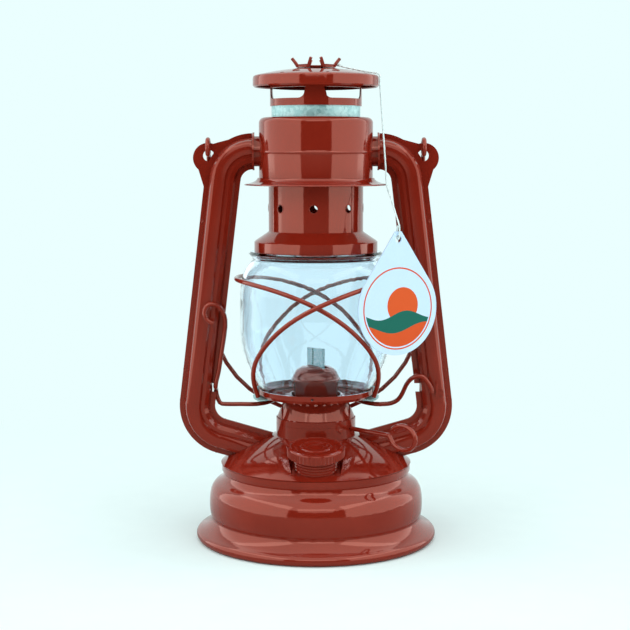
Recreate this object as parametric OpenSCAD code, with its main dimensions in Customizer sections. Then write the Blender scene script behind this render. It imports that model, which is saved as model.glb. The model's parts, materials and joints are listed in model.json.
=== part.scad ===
// Cold-blast hurricane lantern, millimetres, +Z up, origin under the middle of the foot.
// The side tubes lie in the XZ plane, and the filler is at the front, towards -Y.

/* [Tank] */
// Diameter over the rolled foot rim
rim_d = 133; // [124:1:140]
// Diameter of the roll along the foot rim
rim_roll_d = 5.6; // [4:0.2:7]
// Height of the crease over the flared foot
crease_z = 11.6; // [10:0.2:14]
// Diameter of the tank at its bulge
tank_d = 118.6; // [112:0.2:120]
// Height of the tank's upper lip
lip_z = 42.4; // [40:0.2:45]
// Diameter of the tank's upper lip
lip_d = 104.6; // [100:0.2:108]
// Height of the upright band under the lip
lip_band = 4; // [3:0.5:5]
// Rise of the conical top from the lip to the collar
top_rise = 15.4; // [14:0.2:17]
// Thickness of the sheet metal
sheet = 0.8; // [0.6:0.1:1]

/* [Filler] */
// Distance of the filler from the tank's axis
filler_y = 39.6; // [38:0.2:41]
// Height of the filler's foot
filler_z = 46; // [45:0.2:47]
// Lean of the filler towards the front, degrees
filler_lean = 10; // [6:1:12]
// Outer diameter of the filler neck
neck_d = 21.8; // [20:0.2:23]
// Height of the filler neck
neck_h = 10.6; // [9:0.2:12]
// Number of thread turns that show
thread_turns = 5; // [3:1:6]
// Diameter of the fuel cap
cap_d = 30.6; // [29:0.2:32]
// Height of the fuel cap's skirt
cap_h = 5; // [4:0.2:6]
// Notches round the fuel cap
cap_notches = 44; // [30:2:56]
// Width of the pressed pocket at the cap's foot
pocket_w = 33; // [32:0.5:36]
// Slant of the pocket's side walls, degrees
pocket_slant = 25; // [15:1:30]

/* [Burner] */
// Diameter of the burner collar
collar_d = 44; // [42:0.5:46]
// Height of the collar over the tank top
collar_h = 6.4; // [5:0.2:7]
// Height of the burner's upright band
band_h = 3.2; // [2:0.2:4]
// Height of the burner's cone
cone_h = 10.6; // [9:0.2:11]
// Diameter of the barrel through the globe plate
barrel_d = 24.6; // [23:0.2:26]
// Height of the foot of the burner dome
dome_z = 88; // [87:0.5:89]
// Rise of the burner dome
dome_rise = 8.4; // [7:0.2:10]
// Width of the wick
wick_w = 12; // [10:0.5:13]
// Thickness of the wick
wick_t = 1.8; // [1.4:0.2:2.2]
// Height of the wick's tip
wick_tip_z = 105.5; // [102:0.5:108]
// Direction of the wick shaft from +X, degrees
shaft_turn = -45; // [-60:1:-30]
// Diameter of the wick shaft
shaft_d = 2.5; // [2.2:0.1:2.8]
// Reach of the wick shaft to its loop
shaft_reach = 50; // [46:1:54]
// Diameter of the toothed wheels
wheel_d = 9; // [8:0.5:9.5]
// Length of the loop knob
loop_l = 20; // [16:1:24]
// Width of the loop knob
loop_w = 15.4; // [13:0.2:17]

/* [Globe and guard] */
// Height of the globe plate's underside
plate_z = 79.2; // [79:0.2:80.4]
// Diameter of the globe plate
plate_d = 63.8; // [62:0.2:65]
// Height of the globe plate's rim
plate_rim_h = 4.2; // [3:0.2:5]
// Largest diameter of the globe
globe_d = 83.4; // [80:0.2:84]
// Thickness of the glass
glass_t = 1.8; // [1.4:0.1:2.2]
// Height of the globe's lip
globe_top_z = 158; // [157:0.2:159]
// Diameter of the globe's lip
globe_lip_d = 73.6; // [72:0.2:75]
// Diameter of the bare wire
wire_d = 2.6; // [2.2:0.1:2.8]
// Radius of a guard hoop at its far side
guard_r = 43.9; // [43.6:0.1:44.3]
// Height of a guard hoop at its far side
guard_top_z = 143; // [138:0.5:145]

/* [Chimney and hood] */
// Diameter of the chimney barrel
chimney_d = 51.8; // [50:0.2:53]
// Height of the foot of the chimney barrel
chimney_z = 170.4; // [169:0.2:172]
// Diameter of the bell on the globe
bell_d = 67.6; // [67:0.2:69]
// Height of the bell's band
bell_band_h = 8.4; // [7.4:0.2:9.4]
// Number of air holes round the chimney
chimney_holes = 8; // [6:1:12]
// Diameter of the chimney's air holes
chimney_hole_d = 4.4; // [3:0.2:6]
// Diameter of the bare sliding tube
slide_d = 48.2; // [47:0.2:49]
// Diameter of the air chamber
drum_d = 62.2; // [61:0.2:64]
// Height of the air chamber's foot
drum_z = 199.4; // [198:0.2:200]
// Height of the air chamber
drum_h = 32.6; // [31:0.2:34]
// Diameter of the flared skirt
skirt_d = 78.8; // [76:0.2:80]
// Drop of the skirt under the chamber
skirt_drop = 4.2; // [3:0.2:5]
// Height of the cage's foot
cage_z = 238; // [237:0.2:239]
// Height of the cage's ring
cage_ring_h = 3.8; // [3:0.2:4.4]
// Height of the cage's windows
window_h = 6.4; // [5:0.2:7]
// Diameter of the hood lid
lid_d = 68.6; // [66:0.2:71]
// Height of the lid's rim
lid_rim_h = 6; // [5:0.2:7]
// Rise of the lid's dome
lid_rise = 4.4; // [3:0.2:6]
// Holes round the lid
lid_holes = 8; // [6:1:12]
// Height of the curled crown
crown_h = 5; // [4:0.2:7]

/* [Spring] */
// Turns of the hood spring
spring_turns = 5; // [3:1:6]
// Wire of the hood spring
spring_wire_d = 1.2; // [0.8:0.1:1.4]

/* [Side tubes] */
// Width of a tube over its seam flanges
tube_w = 19.6; // [18:0.2:21]
// Width of a seam flange
flange_w = 2.6; // [2:0.1:3]
// Depth of half a tube at its bead
bead_h = 7.6; // [6:0.2:8.4]
// Depth of half a tube at its inner step
step_h = 5.8; // [4.6:0.2:6.4]
// Middle line radius of the upper bend
top_bend_r = 16.5; // [15.5:0.5:18]
// Middle line radius of the lower bend
low_bend_r = 17.8; // [16:0.2:19]
// Sideways place of the upper bend's centre
top_bend_x = 34.5; // [34.2:0.1:36]
// Sideways place of the lower bend's centre
low_bend_x = 48; // [46:0.2:50]
// Height of the upper tube end
tube_top_z = 213.7; // [212:0.2:216]
// Height of the lower bend's centre
low_bend_z = 73.5; // [72:0.5:75]
// Slope of the lower tube end, degrees
low_slope = 16; // [12:1:20]

/* [Bail] */
// Sideways place of the bail's eyes
ear_x = 58.8; // [58:0.2:60]
// Diameter of the hole in an ear
ear_hole_d = 6.2; // [5.6:0.1:7]
// Radius of an ear
ear_r = 8.2; // [7.8:0.2:9]
// Height of the bail's axis
bail_z = 216; // [215.6:0.1:216.4]
// Length of the bail's arms to the arch
bail_arm = 94; // [90:1:100]
// Lean of the hanging bail, degrees
bail_lean = 8; // [8:0.5:12]

/* [Lever] */
// Height of the lever's axis
lever_z = 83.6; // [83:0.2:84.2]
// Height of the lever's cross run
run_z = 73.6; // [73:0.2:74.4]
// Radius of the lever's crank behind the burner
crank_r = 28; // [27:0.2:29]

/* [Hang tag] */
// Width of the hang tag
tag_w = 50; // [40:1:54]
// Height of the hang tag
tag_h = 66; // [56:1:70]
// Thickness of the card
tag_t = 0.8; // [0.6:0.1:1]
// Diameter of the string
string_d = 1; // [0.8:0.1:1.2]

/* [Hidden] */
$fn = 64;

// Clearances
run_gap = 0.3;
seat_gap = 0.2;
fit_gap = 0.05;

// Paint, bare metal, glass and card
enamel = "firebrick";
zinc = "silver";
clear_glass = [0.8, 0.92, 0.95, 0.35];
cotton = "ivory";
card = "whitesmoke";

// Tank
rim_r = rim_d / 2;
roll_r = rim_roll_d / 2;
tank_r = tank_d / 2;
lip_r = lip_d / 2;
top_z = lip_z + top_rise;
crease_r = tank_r - 1.2;
waist_r = lip_r - 1;
waist_z = lip_z - lip_band - 1.6;
band_z = lip_z - lip_band;
lip_overhang = 0.4;

// Filler
neck_r = neck_d / 2;
thread_pitch = 1.5;
thread_foot = 0.9;
thread_out = 0.5;
gasket_z = neck_h + seat_gap;
gasket_h = 1.2;
cap_top = gasket_z + gasket_h + seat_gap + 1;
cap_foot = cap_top - cap_h;

// Burner
collar_r = collar_d / 2;
collar_top_z = top_z + collar_h;
band_top_z = collar_top_z + band_h;
cone_top_z = band_top_z + cone_h;
cone_foot_r = collar_r - 0.6;
cone_top_r = cone_foot_r - cone_h * 0.36;
barrel_r = barrel_d / 2;
dome_r = barrel_r + 1.3;
shaft_z = top_z + 4.8;
shaft_side = wick_t / 2 + wheel_d / 2 + seat_gap;
wick_slack = 0.35;
slot_w = wick_t + 3.2;
slot_l = wick_w + 4;

// Globe plate, globe and guard
plate_r = plate_d / 2;
plate_hole_r = dome_r + 0.8;
shoulder_r = plate_hole_r + 1.2;
globe_foot_r = plate_r - 2 - seat_gap;
globe_foot_z = plate_z + sheet + seat_gap;
globe_r = globe_d / 2;
globe_lip_r = globe_lip_d / 2;
globe_neck_r = globe_lip_r - 2.3;
globe_neck_z = globe_top_z - 3.4;
wire_r = wire_d / 2;
clip_half_angle = 27;
guard_start = 22;
guard_foot_z = plate_z + fit_gap;
guard_foot_r = plate_r + seat_gap + wire_r;
guard_swell = wire_d + 0.4;

// Chimney and hood
chimney_r = chimney_d / 2;
bell_r = bell_d / 2;
bell_foot_r = globe_lip_r - 3.7;
bell_z = globe_top_z - 1;
bell_top_z = bell_z + bell_band_h;
slide_r = slide_d / 2;
drum_r = drum_d / 2;
drum_top_z = drum_z + drum_h;
skirt_r = skirt_d / 2;
skirt_z = drum_z - skirt_drop;
guide_r = chimney_r + 0.8;
seat_z = drum_z + 1.6;
seat_r = drum_r - sheet - 0.8;
spring_r = (slide_r + drum_r - sheet) / 2;
spring_foot_z = seat_z + sheet + spring_wire_d / 2;
spring_top_z = drum_top_z - sheet - spring_wire_d / 2 - seat_gap;
cage_r = slide_r + fit_gap + sheet;
window_z = cage_z + cage_ring_h;
lid_r = lid_d / 2;
lid_z = window_z + window_h;
lid_rim_z = lid_z + lid_rim_h;
lid_top_z = lid_rim_z + lid_rise;
cage_legs = 4;
cage_turn = -1.5;
crown_lean = 18;
leg_angle = 23;
window_fillet = 3.2;

// Side tubes: the two bends and their common tangent
tube_half_w = tube_w / 2;
top_bend_z = tube_top_z - top_bend_r;
bend_dx = low_bend_x - top_bend_x;
bend_dz = top_bend_z - low_bend_z;
bend_gap = norm([bend_dx, bend_dz]);
tube_lean = atan2(bend_dx, bend_dz) + asin((low_bend_r - top_bend_r) / bend_gap);
straight_l = sqrt(bend_gap * bend_gap - pow(low_bend_r - top_bend_r, 2));
straight_x = top_bend_x + top_bend_r * cos(tube_lean);
straight_z = top_bend_z + top_bend_r * sin(tube_lean);
socket_x = top_bend_x - fit_gap;
low_turn = low_slope - 90;
leg_x = low_bend_x + low_bend_r * cos(low_turn);
leg_z = low_bend_z + low_bend_r * sin(low_turn);
joint_gap = 0.15;
low_leg_l = 27.5;
eye_r = 4.05;
ear_hole_z = bail_z - eye_r - 0.6;
ear_z = bail_z + eye_r - wire_r - 0.45 - ear_r;
notch_h = 4.8;

// Bail and lever
lever_gap = wire_r + sheet + run_gap;
front_y = -(bead_h + wire_r + 2);
crank_z = plate_z - run_gap - wire_r;
grip_z = lever_z + 36.4;

// Hang tag: the card leans on the guard, facing the front right
tag_turn = 31;
tag_off = 46.6;
tag_hole_z = 167.6;
tag_eye_d = 4;
tag_side = 22.4;

// The string runs from the crown over the lid and the skirt, through the card's eye and back up
string_route = [
    [8.6, -0.6, 260.05], [11.2, -1.4, 259.95], [17, -3.2, 258.5], [24, -5.2, 257], [29, -6.3, 256],
    [32.73, -7.14, 255.35], [34.29, -7.48, 253.9], [34.4, -7.6, 250], [35.08, -8.55, 240],
    [35.77, -9.5, 230], [36.59, -10.64, 218], [37.34, -11.68, 207], [38.12, -12.76, 195.6],
    [40, -18, 189], [42.2, -24.7, 181], [43.87, -29.52, 175.1], [44.08, -29.86, 172.4],
    [44.03, -29.78, 170.2], [43.92, -29.6, 168.5], [43.41, -28.75, 167.5], [42.89, -27.89, 168.5],
    [42.74, -27.63, 170.2], [42.99, -28.06, 173], [43.2, -28.4, 174.6]
];

// Points of an arc, a cubic curve and a line of points moved sideways
function arc_points(c, r, a, b, n) = [for (i = [0:n])
    let (t = a + (b - a) * i / n) c + r * [cos(t), sin(t)]];
function cubic(p, q, r, s, n) = [for (i = [0:n]) let (t = i / n, u = 1 - t)
    u * u * u * p + 3 * u * u * t * q + 3 * u * t * t * r + t * t * t * s];
function unit(v) = v / norm(v);
function backwards(p) = [for (i = [len(p) - 1:-1:0]) p[i]];
function left_of(v) = [-v[1], v[0]];
function beside(p, t) = [for (i = [0:len(p) - 1])
    let (a = p[max(i - 1, 0)], b = p[min(i + 1, len(p) - 1)]) p[i] + t * left_of(unit(b - a))];
function wall(p, t) = concat(p, [for (q = backwards(beside(p, t))) [max(q[0], 0), q[1]]]);

// A round wire along a route: smooth points, then rings of sides joined by triangles
function spline_point(a, b, c, d, t) = 0.5 * (2 * b + (c - a) * t + (2 * a - 5 * b + 4 * c - d) * t * t
    + (3 * b - a - 3 * c + d) * t * t * t);
function spline(p, n) = let (m = len(p) - 1) concat(
    [for (i = [0:m - 1]) for (j = [0:n - 1])
        spline_point(p[max(i - 1, 0)], p[i], p[i + 1], p[min(i + 2, m)], j / n)],
    [p[m]]);
function headings(p) = [for (i = [0:len(p) - 1]) unit(p[min(i + 1, len(p) - 1)] - p[max(i - 1, 0)])];
function square_to(v, t) = unit(v - (v * t) * t);
function carried(t, v) = [for (i = 0, n = square_to(v, t[0]); i < len(t);
    i = i + 1, n = square_to(n, t[min(i, len(t) - 1)])) n];

module wire(p, d, sides, start) {
    t = headings(p);
    n = carried(t, start);
    m = len(p);
    points = [for (i = [0:m - 1]) for (k = [0:sides - 1])
        p[i] + d / 2 * (cos(360 * k / sides) * n[i] + sin(360 * k / sides) * cross(t[i], n[i]))];
    near = [for (i = [0:m - 2]) for (k = [0:sides - 1])
        [i * sides + k, (i + 1) * sides + k, i * sides + (k + 1) % sides]];
    far = [for (i = [0:m - 2]) for (k = [0:sides - 1])
        [i * sides + (k + 1) % sides, (i + 1) * sides + k, (i + 1) * sides + (k + 1) % sides]];
    first = [for (k = [1:sides - 2]) [0, k, k + 1]];
    base = (m - 1) * sides;
    last = [for (k = [1:sides - 2]) [base, base + k + 1, base + k]];
    polyhedron(points, concat(near, far, first, last));
}

module ring(outer, inner, low, high) {
    rotate_extrude()
        translate([inner, low])
            square([outer - inner, high - low]);
}

// Tank: the foot's roll with a flat to stand on, the flare, the bulge and the lip
roll_c = [rim_r - roll_r, roll_r];
roll_end = roll_c + roll_r * [cos(65), sin(65)];
function tank_line() = concat(
    arc_points(roll_c, roll_r, 180, 250, 6),
    [[roll_c[0] - 0.6, 0], [roll_c[0] + 0.6, 0]],
    arc_points(roll_c, roll_r, 290, 410, 10),
    cubic(roll_end, roll_end + [-2.6, 1.2], [crease_r + 1.4, crease_z - 3], [crease_r, crease_z], 8),
    cubic([crease_r, crease_z + 0.8], [tank_r + 0.3, crease_z + 3], [tank_r + 0.3, waist_z - 12],
        [tank_r - 1.2, waist_z - 8.6], 10),
    cubic([tank_r - 1.6, waist_z - 7.8], [tank_r - 3.4, waist_z - 4], [waist_r + 0.4, waist_z - 4.4],
        [waist_r, waist_z], 10),
    [[lip_r, band_z], [lip_r, lip_z - sheet]]
);

module tank_body() {
    color(enamel)
        rotate_extrude()
            polygon(wall(tank_line(), sheet));
}

module tank_bottom() {
    edge_r = rim_r - rim_roll_d - fit_gap;
    color(enamel)
        rotate_extrude()
            polygon([[0, roll_r + 1], [edge_r - 9, roll_r + 1], [edge_r - 4, roll_r - sheet / 2],
                [edge_r, roll_r - sheet / 2], [edge_r, roll_r + sheet / 2], [edge_r - 4, roll_r + sheet / 2],
                [edge_r - 9, roll_r + 1 + sheet], [0, roll_r + 1 + sheet]]);
}

function top_line() = cubic([lip_r + lip_overhang, lip_z], [lip_r * 0.84, lip_z + top_rise * 0.4],
    [lip_r * 0.62, lip_z + top_rise * 0.86], [collar_r - 2, top_z], 10);

// Everything under the conical top, grown by a clearance
module under_top(gap) {
    rotate_extrude()
        polygon(concat([[0, 0], [lip_r + lip_overhang + gap, 0]],
            [for (p = top_line()) p + [gap, gap]], [[0, top_z + gap]]));
}

// The pocket widens upwards and is cut from the front towards the collar
module pocket_space(grow) {
    back = cap_d / 2 + 0.8 + grow;
    wide = pocket_w / 2 + grow / cos(pocket_slant);
    low = wide - (cap_foot + grow) * tan(pocket_slant);
    high = wide + (top_z - cap_foot) * tan(pocket_slant);
    at_filler()
        translate([0, back, 0])
            rotate([90, 0, 0])
                linear_extrude(lip_r + back)
                    polygon([[-low, -grow], [low, -grow], [high, top_z], [-high, top_z]]);
}

module tank_top() {
    color(enamel) {
        difference() {
            rotate_extrude()
                polygon(wall(top_line(), sheet));
            pocket_space(0);
        }
        intersection() {
            difference() {
                pocket_space(sheet);
                pocket_space(0);
                at_filler()
                    cylinder(r = neck_r - 2, h = 4, center = true);
            }
            difference() {
                under_top(-sheet / 2);
                translate([0, 0, lip_z - lip_band - top_z])
                    cylinder(r = rim_r, h = top_z);
            }
            cylinder(r = waist_r - sheet, h = top_z);
        }
    }
}

module tank_collar() {
    color(enamel)
        difference() {
            ring(collar_r, collar_r - sheet, top_z - 2.4, collar_top_z);
            under_top(0);
            shaft_line(shaft_d + 0.2);
        }
}

// Filler
module at_filler() {
    translate([0, -filler_y, filler_z])
        rotate([filler_lean, 0, 0])
            children();
}

// One turn of the thread, with a round crest
module thread_ring(z) {
    rotate_extrude()
        polygon([[neck_r - 0.2, z - 0.5], [neck_r, z - 0.5], [neck_r + thread_out, z - 0.15],
            [neck_r + thread_out, z + 0.15], [neck_r, z + 0.5], [neck_r - 0.2, z + 0.5]]);
}

module filler_neck() {
    color(enamel)
        at_filler() {
            ring(neck_r, neck_r - sheet - 0.6, fit_gap, neck_h);
            for (i = [0:thread_turns - 1])
                thread_ring(thread_foot + i * thread_pitch);
        }
}

module cap_gasket() {
    color("dimgray")
        at_filler()
            ring(neck_r + thread_out, neck_r - sheet - 1.6, gasket_z, gasket_z + gasket_h);
}

module fuel_cap() {
    bore_r = neck_r + thread_out + run_gap;
    notch = 180 / cap_notches;
    outline = [for (i = [0:cap_notches - 1]) for (s = [0, 1])
        let (a = 2 * notch * i + notch * s, r = cap_d / 2 - 0.5 * s) r * [cos(a), sin(a)]];
    color(enamel)
        at_filler()
            difference() {
                union() {
                    translate([0, 0, cap_foot])
                        linear_extrude(cap_h - 1)
                            polygon(outline);
                    rotate_extrude()
                        polygon(concat([[0, cap_top - 1.2]], [[cap_d / 2 - 0.6, cap_top - 1.2]],
                            [[cap_d / 2 - 1, cap_top - 0.4]], [[cap_d / 2 - 2.4, cap_top]],
                            [[8.6, cap_top - 0.4]], [[7.4, cap_top + 0.2]], [[5.8, cap_top + 0.2]],
                            [[4.4, cap_top - 0.3]], [[0, cap_top + 0.3]]));
                }
                translate([0, 0, cap_foot - 1])
                    cylinder(r = bore_r, h = cap_top - 1 - cap_foot + 1);
            }
}

// Burner
module burner_body() {
    color(enamel)
        difference() {
            rotate_extrude()
                polygon(wall([[collar_r, collar_top_z + fit_gap], [collar_r, band_top_z],
                    [cone_foot_r, band_top_z + 0.4], [cone_top_r, cone_top_z - 0.8],
                    [cone_top_r - 0.8, cone_top_z],
                    [shoulder_r + 0.6, cone_top_z], [shoulder_r, plate_z - run_gap],
                    [barrel_r + fit_gap, plate_z - run_gap]], sheet));
            shaft_line(shaft_d + 0.2);
        }
}

module burner_barrel() {
    color(enamel)
        ring(barrel_r, barrel_r - sheet, cone_top_z - 4, dome_z - fit_gap);
}

module wick_slot(w, l, low, high) {
    rotate([0, 0, shaft_turn])
        translate([-l / 2, -w / 2, low])
            cube([l, w, high - low]);
}

module burner_dome() {
    dome = cubic([dome_r - 0.8, dome_z + 1.6], [dome_r - 1.8, dome_z + dome_rise * 0.75],
        [dome_r * 0.6, dome_z + dome_rise], [0, dome_z + dome_rise], 10);
    color(enamel)
        difference() {
            rotate_extrude()
                polygon(concat([[dome_r - 1.8, dome_z], [dome_r, dome_z], [dome_r, dome_z + 0.9]],
                    wall(dome, sheet)));
            wick_slot(slot_w, slot_l, dome_z - 1, dome_z + dome_rise + 1);
        }
}

module wick_tube() {
    side = wick_w + 2 * (wick_slack + sheet);
    deep = wick_t + 2 * (wick_slack + sheet);
    color("goldenrod") {
        difference() {
            union() {
                wick_slot(deep, side, top_z - 6, dome_z + 2);
                ring(barrel_r - sheet - fit_gap, 2, cone_top_z - 3, cone_top_z - 3 + sheet);
            }
            wick_slot(wick_t + 2 * wick_slack, wick_w + 2 * wick_slack, top_z - 7, dome_z + 3);
            rotate([0, 0, shaft_turn])
                translate([-wick_w / 2, wick_t / 2, shaft_z - wheel_d / 2 - 1])
                    cube([wick_w, wheel_d, wheel_d + 2]);
        }
    }
}

module wick() {
    color(cotton)
        wick_slot(wick_t, wick_w, crease_z + 4, wick_tip_z);
}

// The wick shaft's own line: its length along X, turned to its place
module at_shaft() {
    rotate([0, 0, shaft_turn])
        translate([0, shaft_side, shaft_z])
            children();
}

module shaft_line(d) {
    at_shaft()
        rotate([0, 90, 0])
            cylinder(d = d, h = shaft_reach);
}

// The shaft ends in a loop bent from the same wire, with its free end beside the shaft
module wick_shaft() {
    inner_end = -wick_w / 2 - 1;
    long_r = (loop_l - shaft_d) / 2;
    wide_r = (loop_w - shaft_d) / 2;
    oval = [for (a = [205:20:505]) [long_r * (1 + cos(a)) + 0.8, 0, wide_r * sin(a)]];
    color(enamel)
        at_shaft() {
            translate([inner_end, 0, 0])
                rotate([0, 90, 0])
                    cylinder(d = shaft_d, h = shaft_reach - inner_end);
            translate([shaft_reach, 0, 0])
                wire(spline(concat([[-0.8, 0, 0], [0.2, 0, -0.4]], oval), 2), shaft_d, 10, [0, 1, 0]);
        }
}

module wick_wheels() {
    teeth = 14;
    star = [for (i = [0:2 * teeth - 1])
        let (a = 180 * i / teeth) (wheel_d / 2 - (i % 2) * 0.9) * [cos(a), sin(a)]];
    color("goldenrod")
        at_shaft()
            for (s = [-1, 1])
                translate([s * wick_w / 4 - 0.8, 0, 0])
                    rotate([0, 90, 0])
                        difference() {
                            linear_extrude(1.6)
                                polygon(star);
                            translate([0, 0, -1])
                                cylinder(d = shaft_d, h = 4);
                        }
}

// Side tubes: half a section with seam flanges, a broad bead outside and a lower step inside
wall_u = tube_half_w - flange_w;
function half_line() = [
    [wall_u, sheet], [wall_u - 0.7, bead_h * 0.6], [wall_u - 1.7, bead_h * 0.88], [wall_u - 3.2, bead_h],
    [0.4, bead_h], [-1.4, bead_h - 0.5], [-2.4, step_h], [-4.2, step_h],
    [-wall_u + 1, step_h * 0.72], [-wall_u, sheet]
];

module half_section(grow) {
    line = half_line();
    last = len(line) - 1;
    edge = tube_half_w + grow;
    foot = wall_u + grow;
    outer = [for (i = [1:last - 1]) beside(line, -grow)[i]];
    inner = [for (i = [1:last - 1]) beside(line, sheet + grow)[i]];
    polygon(concat([[edge, 0], [edge, sheet + grow], [foot, sheet + grow]], outer,
        [[-foot, sheet + grow], [-edge, sheet + grow], [-edge, 0], [-wall_u + sheet + grow, 0]],
        backwards(inner), [[wall_u - sheet - grow, 0]]));
}

// A bend and a straight run stop short of their joint, and a slightly thicker band joins them
module tube_bend(x, z, r, from, to) {
    short = joint_gap / r * 180 / PI;
    translate([x, 0, z])
        rotate([90, 0, 0])
            rotate([0, 0, from + short])
                rotate_extrude(angle = to - from - 2 * short)
                    translate([r, 0])
                        half_section(0);
}

module tube_straight(x, z, turn, l) {
    translate([x, 0, z])
        rotate([90, 0, 0])
            rotate([0, 0, turn])
                rotate([90, 0, 0])
                    translate([0, 0, joint_gap])
                        linear_extrude(l - 2 * joint_gap)
                            half_section(0);
}

module tube_joint(x, z, turn) {
    translate([x, 0, z])
        rotate([90, 0, 0])
            rotate([0, 0, turn])
                rotate([90, 0, 0])
                    linear_extrude(6 * joint_gap, center = true)
                        half_section(joint_gap / 2);
}

module ear() {
    top = [ear_x, ear_z] + ear_r * [cos(110), sin(110)];
    low = [ear_x, ear_z] + ear_r * [cos(-50), sin(-50)];
    rotate([90, 0, 0])
        linear_extrude(sheet)
            difference() {
                union() {
                    translate([ear_x, ear_z])
                        circle(r = ear_r);
                    polygon([top, [top_bend_x + top_bend_r * 0.6, tube_top_z + wall_u],
                        [straight_x, straight_z - 4], [straight_x + wall_u + 1, straight_z - 12], low]);
                }
                translate([top_bend_x, top_bend_z])
                    circle(r = top_bend_r + wall_u + 0.6);
                translate([straight_x, straight_z])
                    rotate(tube_lean)
                        translate([-tube_w, -straight_l])
                            square([tube_w + wall_u + 0.6, straight_l]);
                translate([ear_x - 0.4, ear_hole_z])
                    circle(d = ear_hole_d);
            }
}

// Middle line of the tube at a height on its straight run
function tube_x(z) = straight_x + (straight_z - z) * tan(tube_lean);

module lever_notch() {
    translate([tube_x(lever_z) - tube_half_w / cos(tube_lean) - 1, -bead_h, lever_z - notch_h / 2])
        cube([flange_w + 1, 2 * bead_h, notch_h]);
}

module tube_half() {
    difference() {
        union() {
            tube_bend(top_bend_x, top_bend_z, top_bend_r, tube_lean, 90);
            tube_straight(straight_x, straight_z, tube_lean, straight_l);
            tube_bend(low_bend_x, low_bend_z, low_bend_r, low_turn, tube_lean);
            tube_straight(leg_x, leg_z, low_turn, low_leg_l);
            tube_joint(straight_x, straight_z, tube_lean);
            tube_joint(straight_x + straight_l * sin(tube_lean),
                straight_z - straight_l * cos(tube_lean), tube_lean);
            tube_joint(leg_x, leg_z, low_turn);
            ear();
        }
        under_top(fit_gap);
        lever_notch();
    }
}

module left_tube_front() {
    color(enamel)
        mirror([1, 0, 0])
            tube_half();
}

module left_tube_back() {
    color(enamel)
        mirror([1, 0, 0])
            mirror([0, 1, 0])
                tube_half();
}

module right_tube_front() {
    color(enamel)
        tube_half();
}

module right_tube_back() {
    color(enamel)
        mirror([0, 1, 0])
            tube_half();
}

// A tongue lanced out of the right tube's front, beside the lever's end
module lever_catch() {
    x = tube_x(lever_z) + 0.8;
    y = bead_h + fit_gap;
    color(enamel)
        translate([x, -y, lever_z]) {
            translate([0, -1, -3.4])
                cube([4.6, 1, 3]);
            translate([0, -3.6, -3.4])
                cube([1.2, 3.6, 3]);
            translate([0, -4.6, -3.4])
                cube([1.2, 1.2, 7.4]);
        }
}

module tube_socket() {
    color(enamel)
        translate([0, 0, tube_top_z])
            rotate([0, 90, 0])
                difference() {
                    union() {
                        cylinder(r = bead_h + 0.6, h = socket_x);
                        translate([0, 0, socket_x - 1])
                            cylinder(r = tube_half_w + 0.5, h = 1);
                    }
                    translate([0, 0, -1])
                        cylinder(r = bead_h - 0.6, h = socket_x + 2);
                }
}

module right_tube_socket() {
    difference() {
        tube_socket();
        cylinder(r = drum_r - sheet, h = drum_top_z);
    }
}

module left_tube_socket() {
    mirror([1, 0, 0])
        right_tube_socket();
}

// Air chamber
module air_chamber() {
    edge = 3;
    bead_z = drum_z + drum_h * 0.42;
    line = concat([[drum_r, drum_z], [drum_r, bead_z - 1.2], [drum_r + 0.7, bead_z], [drum_r, bead_z + 1.2]],
        arc_points([drum_r - edge, drum_top_z - edge], edge, 0, 90, 8),
        [[slide_r + 0.5, drum_top_z]]);
    color(enamel)
        difference() {
            rotate_extrude()
                polygon(wall(line, sheet));
            for (s = [0, 1])
                mirror([s, 0, 0])
                    translate([slide_r, 0, tube_top_z])
                        rotate([0, 90, 0])
                            cylinder(r = bead_h + 0.6 + fit_gap, h = drum_r);
        }
}

module chamber_skirt() {
    color(enamel)
        rotate_extrude()
            polygon(concat(
                [[guide_r, skirt_z + 0.8], [skirt_r - 1, skirt_z], [skirt_r, skirt_z + 0.3]],
                cubic([skirt_r - 0.6, skirt_z + 0.9], [drum_r + 3.5, skirt_z + 1.4],
                    [drum_r + 1.2, drum_z - 1.6], [drum_r + sheet, drum_z - fit_gap], 9),
                [[drum_r - sheet, drum_z - fit_gap], [drum_r - sheet, skirt_z + 0.8 + sheet],
                    [guide_r, skirt_z + 0.8 + sheet]]));
}

// Globe plate with its ring of air holes
module globe_plate() {
    holes = 20;
    ring_r = (plate_r + plate_hole_r) / 2 - 1.5;
    rim = [[plate_hole_r, plate_z + 1.6], [plate_hole_r, plate_z + sheet], [plate_r - 2, plate_z + sheet],
        [plate_r - sheet, plate_z + 2], [plate_r - sheet, plate_z + plate_rim_h]];
    color(enamel)
        difference() {
            rotate_extrude()
                polygon(concat(rim, [[plate_r, plate_z + plate_rim_h], [plate_r, plate_z + 1.6],
                    [plate_r - 1.6, plate_z], [plate_hole_r, plate_z],
                    [plate_hole_r - 0.6, plate_z + 0.6], [plate_hole_r - 0.6, plate_z + 1.6]]));
            for (i = [0:holes - 1])
                rotate([0, 0, 360 * i / holes])
                    translate([ring_r, 0, plate_z - 1])
                        cylinder(d = 3, h = 4);
            translate([-2, -plate_r, plate_z + plate_rim_h * 0.62])
                rotate([90, 0, 0])
                    cylinder(d = 1.6, h = 6, center = true);
        }
}

// A clip under each side of the plate, turned up where it holds the guard wire's ends
module plate_clip() {
    foot_z = plate_z - sheet - fit_gap;
    tab_angle = clip_half_angle / 3;
    color(zinc) {
        rotate([0, 0, -clip_half_angle])
            rotate_extrude(angle = 2 * clip_half_angle)
                translate([plate_r - 5, foot_z])
                    square([5 + 2 * seat_gap + wire_d, sheet]);
        rotate([0, 0, -tab_angle])
            rotate_extrude(angle = 2 * tab_angle)
                translate([plate_r + fit_gap, foot_z])
                    square([sheet, plate_rim_h + 1.2]);
    }
}

module right_plate_clip() {
    plate_clip();
}

module left_plate_clip() {
    mirror([1, 0, 0])
        plate_clip();
}

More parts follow.
